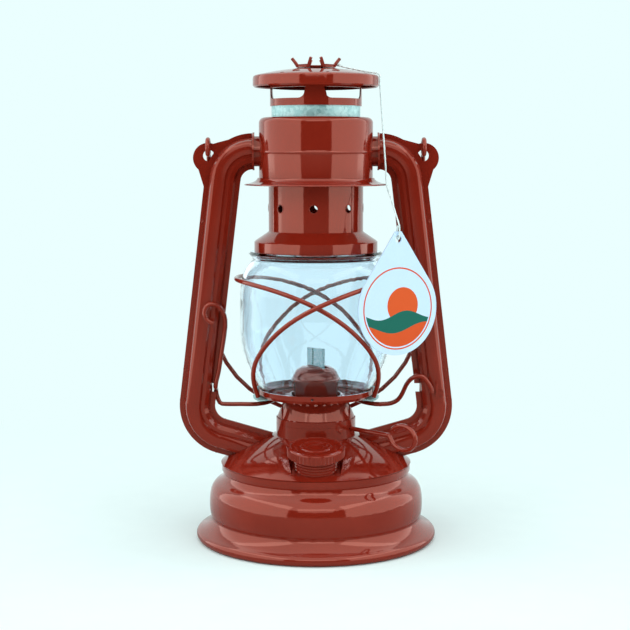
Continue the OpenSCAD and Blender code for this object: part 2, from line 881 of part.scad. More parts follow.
// A guard hoop climbs from its clip round both sides of the globe to the far side
guard_rings = 36;
function guard_point(side, s, swell) = let (
        a = guard_start + (180 - guard_start) * s,
        z = guard_foot_z + wire_r + (guard_top_z - guard_foot_z) * (1 - pow(1 - s, 3)),
        out = sin(90 * min(1, (z - guard_foot_z) / 30)),
        r = guard_foot_r + (guard_r - guard_foot_r) * out + swell * pow(sin(a), 8))
    [r * cos(a), side * r * sin(a), z];
function guard_line(swell) = concat(
    [for (i = [0:guard_rings]) guard_point(-1, pow(i / guard_rings, 1.4), swell)],
    [for (i = [guard_rings - 1:-1:0]) guard_point(1, pow(i / guard_rings, 1.4), swell)]);

module right_guard_wire() {
    color(enamel)
        wire(guard_line(0), wire_d, 8, [1, 0, 0]);
}

module left_guard_wire() {
    color(enamel)
        mirror([1, 0, 0])
            wire(guard_line(guard_swell), wire_d, 8, [1, 0, 0]);
}

function globe_line() = concat(
    [[globe_foot_r, globe_foot_z]],
    cubic([globe_foot_r + 0.8, globe_foot_z + 2.6], [globe_foot_r + 6, globe_foot_z + 13],
        [globe_r, globe_foot_z + 22], [globe_r, globe_foot_z + 38], 12),
    cubic([globe_r, globe_neck_z - 22], [globe_r, globe_neck_z - 9], [globe_r - 2.4, globe_neck_z - 4],
        [globe_neck_r, globe_neck_z], 12),
    [[globe_neck_r + 0.4, globe_neck_z + 1.4], [globe_lip_r, globe_top_z]]);

module globe() {
    color(clear_glass)
        rotate_extrude()
            polygon(wall(globe_line(), glass_t));
}

// Lift lever: hook on the left tube, crank behind the burner, S-bend over the right tube
module lift_wire() {
    left_x = -(tube_x(lever_z) - tube_half_w / cos(tube_lean) + 0.8);
    grip_x = -(tube_x(grip_z) - tube_half_w / cos(tube_lean) - 0.6);
    end_x = tube_x(lever_z) - 1.2;
    back_y = lever_gap + 1;
    crank = [for (a = [160:-20:20])
        [crank_r * cos(a), max(crank_r * sin(a), back_y), run_z + (crank_z - run_z) * pow(sin(a), 3)]];
    grip = [[grip_x - 6, front_y, grip_z + 0.5], [grip_x - 9.2, front_y, grip_z + 2.2],
        [grip_x - 10.8, front_y, grip_z + 6], [grip_x - 9.6, front_y, grip_z + 9.8],
        [grip_x - 6.4, front_y + 0.4, grip_z + 11.2], [grip_x - 2.6, front_y + 2.6, grip_z + 9],
        [grip_x - 0.4, front_y + 5, grip_z + 4.6], [grip_x, -lever_gap - 0.8, grip_z - 2]];
    pivot = [[left_x + 3.8, -lever_gap - 0.4, grip_z - 15], [left_x + 1.9, -lever_gap - 0.2, lever_z + 9.4],
        [left_x + 0.6, -lever_gap, lever_z + 4.2], [left_x + 0.1, -lever_gap + 0.2, lever_z + 1.1],
        [left_x, 0, lever_z], [left_x, lever_gap - 0.2, lever_z - 1.1],
        [left_x + 0.2, back_y, lever_z - 4.4]];
    run = [[left_x + 2, back_y, run_z + 0.9], [left_x + 5.4, back_y, run_z], [left_x + 14, back_y, run_z],
        [-crank_r - 5, back_y, run_z]];
    bend = [[crank_r + 5, back_y, run_z], [end_x - 25.5, back_y, run_z],
        [end_x - 21.5, back_y - 0.6, run_z + 0.6], [end_x - 17.9, back_y - 2.2, run_z + 2.8],
        [end_x - 15.5, -1.2, run_z + 7], [end_x - 13.7, -4.2, run_z + 12],
        [end_x - 11.3, front_y + 2.4, run_z + 16], [end_x - 7.9, front_y + 0.4, run_z + 18],
        [end_x - 4.7, front_y, run_z + 17.2], [end_x - 2.1, front_y, run_z + 14],
        [end_x - 0.4, front_y, lever_z + 1], [end_x, front_y, lever_z - 1.4]];
    route = concat(grip, pivot, run, crank, bend);
    color(enamel)
        wire(spline(route, 2), wire_d, 8, [0, 1, 0]);
}

// Chimney and hood
module chimney_barrel() {
    hole_z = chimney_z + 12.6;
    line = [[bell_foot_r - 2, bell_z], [bell_foot_r, bell_z],
        [bell_r, bell_z + 1.15 * (bell_r - bell_foot_r)], [bell_r, bell_top_z - 0.8],
        [bell_r - 0.8, bell_top_z], [chimney_r + 0.5, chimney_z - 0.6], [chimney_r, chimney_z],
        [chimney_r, seat_z], [slide_r + fit_gap, seat_z]];
    color(enamel)
        difference() {
            rotate_extrude()
                polygon(wall(line, sheet));
            for (i = [0:chimney_holes - 1])
                rotate([0, 0, 360 * i / chimney_holes - 90 - 2.7])
                    translate([slide_r - 4, 0, hole_z])
                        rotate([0, 90, 0])
                            cylinder(d = chimney_hole_d, h = 8);
        }
}

module slide_tube() {
    color(zinc)
        ring(slide_r, slide_r - sheet, seat_z - 4, window_z);
}

module spring_seat() {
    color(zinc)
        ring(seat_r, slide_r + fit_gap, seat_z + fit_gap, seat_z + sheet);
}

// Hood spring: one unbroken coil round the sliding tube
spring_rings = 10;
spring_line = [for (i = [0:spring_turns * spring_rings])
    let (a = 360 * i / spring_rings, t = i / (spring_turns * spring_rings))
    [spring_r * cos(a), spring_r * sin(a), spring_foot_z + (spring_top_z - spring_foot_z) * t]];
spring_gap = min([for (i = [0:len(spring_line) - 1]) for (j = [i + spring_rings / 2:len(spring_line) - 1])
    norm(spring_line[j] - spring_line[i])]) - spring_wire_d;
echo(least_gap_of_spring_to_itself = spring_gap);

module hood_spring() {
    color(zinc)
        wire(spring_line, spring_wire_d, 6, [0, 0, 1]);
}

// A window between two legs, wide at the lid and rounded at its foot
module cage_window() {
    half = cage_r * sin((360 / cage_legs - leg_angle) / 2);
    foot = half - window_fillet - 0.5;
    rotate([90, 0, 90])
        linear_extrude(2 * cage_r)
            polygon(concat([[-half, window_h - 0.6]],
                arc_points([-foot, window_fillet], window_fillet, 180, 270, 6),
                arc_points([foot, window_fillet], window_fillet, 270, 360, 6),
                [[half, window_h - 0.6]]));
}

module hood_cage() {
    top = lid_top(cage_r) - sheet - seat_gap;
    color(enamel)
        difference() {
            ring(cage_r, slide_r + fit_gap, cage_z, top);
            for (i = [0:cage_legs - 1])
                rotate([0, 0, 360 * (i + 0.5) / cage_legs + cage_turn - 90])
                    translate([0, 0, window_z])
                        cage_window();
        }
}

// Height of the lid's dome over a radius
function lid_top(r) = lid_rim_z + lid_rise * (1 - pow(r / lid_r, 2));
function lid_line() = concat([[lid_r - 0.8, lid_z], [lid_r, lid_z + 0.8], [lid_r, lid_rim_z - 1.4]],
    [for (r = [lid_r - 0.3, lid_r - 0.9]) [r, lid_top(r) - 0.6 * (r - lid_r + 0.9)]],
    [for (i = [9:-1:1]) [lid_r * 0.1 * i, lid_top(lid_r * 0.1 * i)]], [[0.01, lid_top_z]]);

module hood_lid() {
    color(enamel)
        difference() {
            rotate_extrude()
                polygon(wall(lid_line(), sheet));
            for (i = [0:lid_holes - 1])
                rotate([0, 0, 360 * i / lid_holes - 79])
                    translate([lid_r - 2.6, 0, lid_rim_z - 2])
                        cylinder(d = 2, h = lid_rise + 4);
        }
}

// Crown of four low tabs, each with a horn curled up and outwards at both ends
module hood_crown() {
    foot_z = lid_top_z + fit_gap;
    tab_r = 9;
    half = [[4.2, 0], [5.2, 0.8], [6.2, crown_h * 0.55], [8, crown_h], [6.6, crown_h + 0.6],
        [4.6, crown_h * 0.6], [3.8, 1.8]];
    color(enamel) {
        translate([0, 0, foot_z])
            cylinder(r = tab_r + 1.6, h = sheet);
        for (i = [0:3])
            rotate([0, 0, 90 * i + 45])
                translate([tab_r, 0, foot_z])
                    rotate([0, crown_lean, 0])
                        rotate([90, 0, 90])
                            linear_extrude(sheet)
                                polygon(concat(half, [for (q = backwards(half)) [-q[0], q[1]]]));
    }
}

// Bail: one wire, hooked through each ear and round its upper rim, with a half-round arch
hook_turn = 285;
module bail_hook(side) {
    translate([side * ear_x, 0, 0])
        rotate([90, 0, 90])
            rotate_extrude(angle = hook_turn)
                translate([eye_r, 0])
                    circle(d = wire_d);
}

function bail_arm_line(side) = [for (z = [3, 0, -2, -bail_arm / 2, -bail_arm + 2])
    [side * ear_x, z > 0 ? sqrt(eye_r * eye_r - z * z) : eye_r, z]];

module bail() {
    arch = [for (a = [0:-10:-180]) [ear_x * cos(a), eye_r, -bail_arm + ear_x * sin(a)]];
    color(enamel)
        translate([0, 0, bail_z])
            rotate([bail_lean, 0, 0]) {
                bail_hook(1);
                bail_hook(-1);
                wire(concat(bail_arm_line(1), arch, backwards(bail_arm_line(-1))),
                    wire_d - 2 * fit_gap, 10, [1, 0, 0]);
            }
}

// Hang tag: a drop-shaped card with an eye at its point
module hang_tag() {
    r = tag_w / 2;
    point = tag_h - r;
    a = acos(r / point);
    color(card)
        rotate([0, 0, tag_turn])
            translate([tag_side, -tag_off, tag_hole_z + tag_eye_d - tag_h + r])
                rotate([90, 0, 0])
                    linear_extrude(tag_t)
                        difference() {
                            union() {
                                circle(r = r);
                                polygon([r * [cos(90 - a), sin(90 - a)], [2, point], [-2, point],
                                    r * [-cos(90 - a), sin(90 - a)]]);
                            }
                            translate([0, point - tag_eye_d])
                                circle(d = tag_eye_d);
                        }
}

module tag_string() {
    color(cotton)
        wire(spline(string_route, 2), string_d, 8, [0, 1, 0]);
}

tank_body();
tank_bottom();
tank_top();
tank_collar();
filler_neck();
cap_gasket();
fuel_cap();
burner_body();
burner_barrel();
burner_dome();
wick_tube();
wick();
wick_shaft();
wick_wheels();
left_tube_front();
left_tube_back();
right_tube_front();
right_tube_back();
lever_catch();
left_tube_socket();
right_tube_socket();
air_chamber();
chamber_skirt();
globe_plate();
left_plate_clip();
right_plate_clip();
left_guard_wire();
right_guard_wire();
globe();
lift_wire();
chimney_barrel();
slide_tube();
spring_seat();
hood_spring();
hood_cage();
hood_lid();
hood_crown();
bail();
hang_tag();
tag_string();
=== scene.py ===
# A cold-blast hurricane lantern in red enamel, as it stands in a studio: tank, burner, side tubes,
# glass globe in its guard, sliding chimney with its hood, bail, and a card tag on a string.
import json
import math

import bpy
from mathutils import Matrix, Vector

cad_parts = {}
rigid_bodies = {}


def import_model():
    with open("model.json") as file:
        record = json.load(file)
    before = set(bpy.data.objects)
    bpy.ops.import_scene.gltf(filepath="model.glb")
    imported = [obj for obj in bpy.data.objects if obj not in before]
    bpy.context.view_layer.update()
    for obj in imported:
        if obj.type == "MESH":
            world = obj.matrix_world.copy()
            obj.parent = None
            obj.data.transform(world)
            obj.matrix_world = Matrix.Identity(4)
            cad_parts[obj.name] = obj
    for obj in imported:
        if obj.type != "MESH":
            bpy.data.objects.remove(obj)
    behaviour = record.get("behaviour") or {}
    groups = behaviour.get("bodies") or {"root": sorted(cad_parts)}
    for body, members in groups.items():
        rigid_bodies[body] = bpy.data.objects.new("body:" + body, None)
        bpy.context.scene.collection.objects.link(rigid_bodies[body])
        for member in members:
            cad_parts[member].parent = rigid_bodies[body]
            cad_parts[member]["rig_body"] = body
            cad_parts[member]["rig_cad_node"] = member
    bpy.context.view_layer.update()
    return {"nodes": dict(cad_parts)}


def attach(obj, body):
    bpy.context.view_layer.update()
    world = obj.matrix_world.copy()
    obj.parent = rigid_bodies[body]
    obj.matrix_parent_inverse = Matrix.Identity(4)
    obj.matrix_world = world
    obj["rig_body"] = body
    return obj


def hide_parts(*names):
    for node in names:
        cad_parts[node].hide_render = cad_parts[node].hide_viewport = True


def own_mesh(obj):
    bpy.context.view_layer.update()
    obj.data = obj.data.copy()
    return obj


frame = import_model()
mm = 0.001

# Studio: a pale floor that fades into an even pale background, soft panels on both sides, overhead
# and high in front, and a dark room behind the camera. No panel shows through the glass, so the
# air round the lantern lights what stands inside the globe.
scene = bpy.context.scene
scene.view_settings.view_transform = "Standard"
camera_place, camera_tilt = (-0.0005, -0.79, 0.212), 83.64
bpy.ops.object.select_all(action="DESELECT")
bpy.ops.object.camera_add(location=camera_place, rotation=(math.radians(camera_tilt), 0, 0))
camera = bpy.context.object
camera.data.lens = 82.3
camera.data.sensor_width = 36
camera.data.clip_start = 0.01
scene.camera = camera

# Each panel's place, its turn in degrees, its width and height in metres, and its power in watts.
panels = {
    "left_panel": ((-0.80, -0.17, 0.62), (90, 0, -77.4), 1.82, 1.5, 10.6),
    "right_panel": ((0.80, -0.17, 0.62), (90, 0, 77.4), 1.74, 1.5, 10.1),
    "top_panel": ((0, -0.95, 1.4), (0, 0, 0), 2.5, 3.8, 31),
    "front_panel": ((0, -1.75, 0.95), (64.1, 0, 0), 1.3, 0.85, 3.0),
}
lamp_white = (1.0, 0.985, 0.965)
for name, (place, turn, wide, tall, power) in panels.items():
    bpy.ops.object.light_add(
        type="AREA", location=place, rotation=[math.radians(a) for a in turn]
    )
    lamp = bpy.context.object
    lamp.name = name
    lamp.data.shape = "RECTANGLE"
    lamp.data.size = wide
    lamp.data.size_y = tall
    lamp.data.energy = power
    lamp.data.color = lamp_white
    lamp.visible_camera = False
    lamp.visible_transmission = False


class Tint:
    """A socket in a node tree. Arithmetic on it adds the Math nodes that it stands for."""

    def __init__(self, tree, socket):
        self.tree, self.socket = tree, socket

    def node(self, kind, settings, values, out=0):
        made = self.tree.nodes.new("ShaderNode" + kind)
        for key, value in settings.items():
            if key == "stops":
                while len(made.color_ramp.elements) < len(value):
                    made.color_ramp.elements.new(1)
                for stop, (place, colour) in zip(made.color_ramp.elements, value):
                    stop.position, stop.color = place, (*colour, 1)
            else:
                setattr(made, key, value)
        for key, value in values.items():
            if isinstance(value, Tint):
                self.tree.links.new(value.socket, made.inputs[key])
            else:
                made.inputs[key].default_value = value
        return Tint(self.tree, made.outputs[out])

    def maths(self, operation, first, second):
        return self.node("Math", {"operation": operation}, {0: first, 1: second})

    def __add__(self, other):
        return self.maths("ADD", self, other)

    def __sub__(self, other):
        return self.maths("SUBTRACT", self, other)

    def __rsub__(self, other):
        return self.maths("SUBTRACT", other, self)

    def __mul__(self, other):
        return self.maths("MULTIPLY", self, other)

    def __gt__(self, other):
        return self.maths("GREATER_THAN", self, other)

    def __lt__(self, other):
        return self.maths("LESS_THAN", self, other)

    __radd__ = __add__
    __rmul__ = __mul__

    def mix(self, low, high):
        return self.node("Mix", {"data_type": "RGBA"}, {0: self, 6: low, 7: high}, 2)

    def ease(self, low, high):
        values = {"Value": self, "From Min": low, "From Max": high}
        return self.node("MapRange", {"interpolation_type": "SMOOTHSTEP"}, values)

    def part(self, axis):
        return self.node("SeparateXYZ", {}, {0: self}, axis)

    def noise(self, scale, detail):
        return self.node("TexNoise", {}, {"Vector": self, "Scale": scale, "Detail": detail})

    def bump(self, height, strength, distance):
        return self.node("Bump", {}, {"Strength": strength, "Distance": distance, "Height": height})


background = (0.83, 1.0, 1.0, 1)
room, room_in_gloss = (0.14, 0.175, 0.175, 1), (0.02, 0.026, 0.026, 1)
air_in_globe = (1.8, 1.95, 1.95, 1)
world = bpy.data.worlds.new("studio_air")
scene.world = world
world.use_nodes = True
air = world.node_tree
heading = Tint(air, air.nodes.new("ShaderNodeTexCoord").outputs["Generated"])


def ray_kinds(start):
    """Rays seen straight or through glass, rays off a gloss, and rays from inside the glass."""
    kinds = (
        "Is Camera Ray", "Is Transmission Ray", "Is Glossy Ray", "Glossy Depth", "Diffuse Depth",
    )
    seen, through, mirrored, gloss, soft = (start.node("LightPath", {}, {}, k) for k in kinds)
    bounced = (gloss + soft) > 0.5
    return (seen + through) * (1 - bounced), mirrored, through * bounced


plain, mirrored, inside = ray_kinds(heading)
behind = heading.part("Y").ease(0.2, 0.75)
fill = mirrored.mix(room, room_in_gloss)
open_sky = (plain + mirrored * behind).mix(fill, background)
sky = inside.mix(open_sky, air_in_globe)
air.links.new(sky.socket, air.nodes["Background"].inputs["Color"])


def finish(name, make):
    """A new material. make takes its object coordinates and gives the values of its shader."""
    material = bpy.data.materials.new(name)
    material.use_nodes = True
    tree = material.node_tree
    place = Tint(tree, tree.nodes.new("ShaderNodeTexCoord").outputs["Object"])
    shader = tree.nodes["Principled BSDF"]
    for key, value in make(place).items():
        if isinstance(value, Tint):
            tree.links.new(value.socket, shader.inputs[key])
        else:
            shader.inputs[key].default_value = value
    return material


def floor_paint(place):
    grain = place.noise(60, 2)
    return {
        "Base Color": grain.mix((0.79, 0.955, 0.965, 1), (0.82, 0.985, 0.99, 1)),
        "Roughness": 0.75,
        "Specular IOR Level": 0.2,
    }


fade_from, fade_to = 0.14, 0.42
# In gloss, the floor in front of the lantern glows near-black instead of showing its lit paint.
# This is painted shade on the floor, seen only in the enamel's reflections, and gloss_share is how
# much of it is mixed in.
painted_floor_shade, gloss_share = (0.06, 0.065, 0.06, 1), 0.75
bpy.ops.mesh.primitive_plane_add(size=14)
floor = bpy.context.object
floor.name = "studio_floor"
paint = finish("studio_floor", floor_paint)
floor.data.materials.append(paint)
tree = paint.node_tree
ground = Tint(tree, tree.nodes.new("ShaderNodeTexCoord").outputs["Object"])
reach = ground.node("VectorMath", {"operation": "LENGTH"}, {0: ground}, "Value")
plain, mirrored, inside = ray_kinds(ground)
behind = ground.part("Y").ease(-0.1, 0.3)
far = reach.ease(fade_from, fade_to)
bright = plain + (mirrored + inside) * behind
glow = ground.node("Emission", {}, {"Color": bright.mix(painted_floor_shade, background)})
faded = ground.node(
    "MixShader",
    {},
    {
        0: far * bright + mirrored * (1 - behind) * gloss_share,
        1: Tint(tree, tree.nodes["Principled BSDF"].outputs[0]),
        2: glow,
    },
)
tree.links.new(faded.socket, tree.nodes["Material Output"].inputs["Surface"])


# Tank: a deep-drawn bowl with a rolled foot, and a bottom crimped into it. It is stamped from thin
# sheet, dipped in red enamel and stoved, so that its edges are soft and its gloss is high.
def enamel(place):
    deep_red, bright_red = (0.188, 0.0122, 0.0054), (0.222, 0.0158, 0.007)
    cloud = place.noise(38, 3)
    peel = place.noise(620, 2)
    speck = place.noise(2600, 1)
    return {
        "Base Color": cloud.node(
            "ValToRGB", {"stops": [(0.3, deep_red), (0.7, bright_red)]}, {0: cloud}
        ),
        "Roughness": 0.05 + cloud * 0.04 + (speck > 0.7) * 0.05,
        "IOR": 2.05,
        "Specular Tint": (1.0, 0.5, 0.4, 1),
        "Normal": place.bump(peel, 0.03, 0.0004),
    }


red = finish("red_enamel", enamel)
same_point, flat_angle, flat_weight = 0.002 * mm, 0.5, 90


def pick(piece):
    """Make a piece the only one that is selected, and the active one."""
    bpy.ops.object.select_all(action="DESELECT")
    piece.select_set(True)
    bpy.context.view_layer.objects.active = piece


def stamped(name, soft, angle, material, body):
    """A merged copy that stands for a solid, smooth below an angle, its edges softened if soft is
    not 0.
    """
    pick(frame["nodes"][name])
    bpy.ops.object.duplicate()
    piece = bpy.context.object
    piece.name = name + "_skin"
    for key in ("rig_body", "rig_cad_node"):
        if key in piece:
            del piece[key]
    piece.parent = None
    bpy.ops.object.mode_set(mode="EDIT")
    bpy.ops.mesh.select_all(action="SELECT")
    bpy.ops.mesh.remove_doubles(threshold=same_point)
    bpy.ops.mesh.customdata_custom_splitnormals_clear()
    bpy.ops.object.mode_set(mode="OBJECT")
    if soft:
        bpy.ops.object.mode_set(mode="EDIT")
        bpy.ops.mesh.select_all(action="SELECT")
        bpy.ops.mesh.dissolve_limited(angle_limit=math.radians(flat_angle))
        bpy.ops.object.mode_set(mode="OBJECT")
        edges = piece.modifiers.new("soft_edges", "BEVEL")
        edges.width = soft * mm
        edges.segments = 2
        edges.limit_method = "ANGLE"
        edges.angle_limit = math.radians(angle)
        bpy.ops.object.modifier_apply(modifier="soft_edges")
    bpy.ops.object.shade_smooth_by_angle(angle=math.radians(angle))
    flats = piece.modifiers.new("true_flats", "WEIGHTED_NORMAL")
    flats.weight = flat_weight
    flats.keep_sharp = True
    bpy.ops.object.modifier_apply(modifier="true_flats")
    piece.data.materials.clear()
    piece.data.materials.append(material)
    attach(piece, body)
    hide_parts(name)
    return piece


for name in ("tank_body", "tank_bottom"):
    stamped(name, 0, 38, red, "frame")

# Tank top, collar and filler: a pressed cone with a pocket for the filler, the ring that the
# burner locks into, and a screwed neck with its cap, all enamelled with the tank.
for name in ("tank_top", "tank_collar", "filler_neck"):
    stamped(name, 0, 30, red, "frame")
stamped("fuel_cap", 0, 30, red, "fuel_cap")


def round_head(name, radius, steps, place, out, body):
    """A small head: a disc drawn up by steps of (inset, rise), rounded, and set on its place."""
    bpy.ops.object.select_all(action="DESELECT")
    bpy.ops.mesh.primitive_circle_add(vertices=20, radius=radius * mm, fill_type="NGON")
    head = bpy.context.object
    head.name = name
    bpy.ops.object.mode_set(mode="EDIT")
    bpy.ops.mesh.select_all(action="SELECT")
    bpy.ops.mesh.extrude_region_move(TRANSFORM_OT_translate={"value": (0, 0, steps[0][1] * mm)})
    for inset, rise in steps[1:]:
        bpy.ops.mesh.inset(thickness=inset * mm, depth=rise * mm)
    bpy.ops.mesh.select_all(action="SELECT")
    bpy.ops.mesh.normals_make_consistent(inside=False)
    bpy.ops.object.mode_set(mode="OBJECT")
    rounding = head.modifiers.new("rounding", "SUBSURF")
    rounding.levels = rounding.render_levels = 2
    bpy.ops.object.modifier_apply(modifier="rounding")
    bpy.ops.object.shade_smooth()
    head.rotation_euler = Vector(out).to_track_quat("Z", "Y").to_euler()
    head.location = Vector(place) * mm
    bpy.ops.object.transform_apply(location=True, rotation=True, scale=True)
    head.data.materials.append(red)
    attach(head, body)


rivet_r, rivet_steps = 1.35, [(0, 0.6), (0.3, 0.25), (0.35, 0.15)]
rivet_place, rivet_out = (13.02, -17.4, 62.3), (0.599, -0.801, 0)
round_head("collar_rivet", rivet_r, rivet_steps, rivet_place, rivet_out, "frame")


def rubber(place):
    return {
        "Base Color": place.noise(300, 2).mix((0.012, 0.012, 0.012, 1), (0.03, 0.03, 0.03, 1)),
        "Roughness": 0.8,
    }


seal_rubber = finish("seal_rubber", rubber)
stamped("cap_gasket", 0, 30, seal_rubber, "cap_seal")

# Burner: band, cone, barrel and slotted dome in enamel, and inside them a brass wick tube with
# toothed wheels on a wire shaft. The shaft's end is bent into a loop for the fingers.
for name in ("burner_body", "burner_barrel", "burner_dome"):
    stamped(name, 0, 34, red, "frame")
stamped("wick_shaft", 0, 50, red, "wick_drive")


def brass_sheet(place):
    stain = place.noise(220, 4)
    return {
        "Base Color": stain.mix((0.44, 0.27, 0.085, 1), (0.66, 0.47, 0.2, 1)),
        "Metallic": 1.0,
        "Roughness": 0.22 + stain * 0.25,
    }


brass = finish("brass_sheet", brass_sheet)
stamped("wick_tube", 0, 30, brass, "frame")
stamped("wick_wheels", 0, 30, brass, "wick_drive")


# Wick: a flat strip woven from white cotton, with one dark stripe along it. It stands in the brass
# tube, where the toothed wheels raise and lower it.
wick_turn, stripe_from, stripe_to = math.radians(45), -2.1, -1.0


def woven_cotton(place):
    turned = place.node("Mapping", {}, {"Vector": place, "Rotation": (0, 0, wick_turn)})
    rows = place.node(
        "TexWave",
        {"bands_direction": "Z"},
        {"Vector": turned, "Scale": 320, "Distortion": 1.2, "Detail": 1},
    )
    ribs = place.node(
        "TexWave",
        {"bands_direction": "X"},
        {"Vector": turned, "Scale": 260, "Distortion": 0.8, "Detail": 1},
    )
    weave = rows * 0.5 + ribs * 0.5
    across = turned.part("X")
    dark_stripe = (across > stripe_from * mm) * (across < stripe_to * mm) * (rows > 0.25)
    lint = place.noise(1100, 2).ease(0.35, 0.65)
    yarn = (weave * 0.4 + lint * 0.6).mix((0.40, 0.74, 0.76, 1), (0.97, 1.0, 1.0, 1))
    return {
        "Base Color": dark_stripe.mix(yarn, (0.01, 0.13, 0.10, 1)),
        "Roughness": 0.92,
        "Sheen Weight": 0.3,
        "Normal": place.bump(weave, 0.4, 0.0003),
    }


cotton = finish("woven_cotton", woven_cotton)
stamped("wick", 0, 30, cotton, "wick")

# Side tubes: each is two stamped halves, crimped along their flanges, that carry cold air from the
# chamber down to the burner. The ears for the bail are stamped with them.
for side in ("left", "right"):
    for half in ("front", "back"):
        stamped(f"{side}_tube_{half}", 0, 32, red, "frame")
    stamped(f"{side}_tube_socket", 0, 32, red, "frame")
stamped("lever_catch", 0.15, 32, red, "frame")
flange_welds = [(-62.35, 175.8), (-72.5, 93.95), (62.35, 175.8), (72.5, 93.95)]
flange_weld_r, flange_weld_steps = 1.0, [(0, 0.25), (0.25, 0.05), (0.3, -0.2)]
flange_face = 0.7
for i, (across, high) in enumerate(flange_welds):
    for face, out in (("front", -1), ("back", 1)):
        round_head(
            f"flange_weld_{i}_{face}", flange_weld_r, flange_weld_steps,
            (across, out * flange_face, high), (0, out, 0), "frame",
        )

# Air chamber: a drum with one bead round it, which feeds cold air to the side tubes, and a flared
# skirt under it, which guides the chimney. Both are pressed from sheet and enamelled.
for name in ("air_chamber", "chamber_skirt"):
    stamped(name, 0, 34, red, "frame")

# Globe plate: an enamelled dish with a ring of air holes, clips of bare galvanised strip under it,
# and two guard hoops of enamelled wire that cross in front of the glass and behind it.
stamped("globe_plate", 0, 34, red, "globe_carrier")


def galvanised_sheet(place):
    cells = place.node("TexVoronoi", {"feature": "F1"}, {"Vector": place, "Scale": 620}, "Color")
    spangle = cells.part(0)
    streak = place.noise(140, 5)
    shade = spangle * 0.55 + streak * 0.45
    return {
        "Base Color": shade.mix((0.22, 0.47, 0.48, 1), (0.62, 0.90, 0.90, 1)),
        "Metallic": 0.55,
        "Roughness": 0.3 + spangle * 0.2,
        "Normal": place.bump(streak, 0.1, 0.0003),
    }


zinc = finish("galvanised_sheet", galvanised_sheet)
for side in ("left", "right"):
    stamped(f"{side}_plate_clip", 0.12, 34, zinc, "globe_carrier")
    stamped(f"{side}_guard_wire", 0, 60, red, "globe_carrier")


# Globe: blown clear glass with a rounded shoulder and a ground lip. It stands on the plate, and the
# chimney's bell holds it down.
def clear_glass(place):
    ripple = place.noise(26, 2)
    return {
        "Base Color": (0.84, 0.935, 1.0, 1),
        "Roughness": 0.0,
        "IOR": 1.47,
        "Transmission Weight": 1.0,
        "Normal": place.bump(ripple, 0.06, 0.001),
    }


glass = finish("clear_glass", clear_glass)
stamped("globe", 0, 40, glass, "globe_carrier")

# Lift lever: one enamelled wire with a finger loop on the left, a crank under the globe plate, and
# an end that snaps behind the tongue on the right tube.
stamped("lift_wire", 0, 60, red, "lift_lever")

# Chimney: an enamelled barrel with a bell on the globe, and a bare galvanised tube that slides in
# the air chamber under a coil spring. The coil is cut in two at its middle: the upper half rides
# with the frame, the lower half with the globe carrier.
stamped("chimney_barrel", 0, 34, red, "hood")
barrel_r, hole_z, hole_r, hole_count, first_hole = 25.9, 183, 2.2, 8, -92.7
burr_lip, burr_spread, burr_tall, burr_sink, burr_round = 0.12, 1.24, 0.4, 0.33, 0.14
for i in range(hole_count):
    turn = math.radians(360 / hole_count * i + first_hole)
    bpy.ops.object.select_all(action="DESELECT")
    bpy.ops.mesh.primitive_circle_add(vertices=28, radius=(hole_r - burr_lip) * mm)
    burr = bpy.context.object
    burr.name = f"hole_burr_{i}"
    bpy.ops.object.mode_set(mode="EDIT")
    bpy.ops.mesh.select_all(action="SELECT")
    bpy.ops.mesh.extrude_region_move()
    bpy.ops.transform.resize(value=(burr_spread, burr_spread, 1))
    bpy.ops.mesh.select_all(action="SELECT")
    bpy.ops.mesh.extrude_region_move(TRANSFORM_OT_translate={"value": (0, 0, burr_tall * mm)})
    bpy.ops.mesh.select_all(action="SELECT")
    bpy.ops.mesh.normals_make_consistent(inside=False)
    bpy.ops.mesh.bevel(offset=burr_round * mm, segments=3, affect="EDGES")
    bpy.ops.object.mode_set(mode="OBJECT")
    bpy.ops.object.shade_smooth()
    burr.rotation_euler = (math.radians(90), 0, turn + math.radians(90))
    burr.location = Vector((math.cos(turn), math.sin(turn), 0)) * (barrel_r - burr_sink) * mm
    burr.location.z = hole_z * mm
    bpy.ops.object.transform_apply(location=True, rotation=True, scale=True)
    burr.data.materials.append(red)
    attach(burr, "hood")

seam_turn, seam_low, seam_high = math.radians(-41.7), 170.4, 200.5
seam_thick, seam_wide, seam_round = 0.5, 1.5, 0.18
bpy.ops.object.select_all(action="DESELECT")
bpy.ops.mesh.primitive_cube_add(size=1)
seam = bpy.context.object
seam.name = "barrel_seam"
bpy.ops.object.mode_set(mode="EDIT")
bpy.ops.transform.resize(value=(seam_thick * mm, seam_wide * mm, (seam_high - seam_low) * mm))
bpy.ops.mesh.select_all(action="SELECT")
bpy.ops.mesh.bevel(offset=seam_round * mm, segments=3, affect="EDGES")
bpy.ops.object.mode_set(mode="OBJECT")
bpy.ops.object.shade_smooth_by_angle(angle=math.radians(40))
seam.rotation_euler = (0, 0, seam_turn)
seam.location = Vector((math.cos(seam_turn), math.sin(seam_turn), 0)) * barrel_r * mm
seam.location.z = (seam_low + seam_high) / 2 * mm
bpy.ops.object.transform_apply(location=True, rotation=True, scale=True)
seam.data.materials.append(red)
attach(seam, "hood")
stamped("slide_tube", 0, 34, zinc, "hood")
stamped("spring_seat", 0, 34, zinc, "hood")

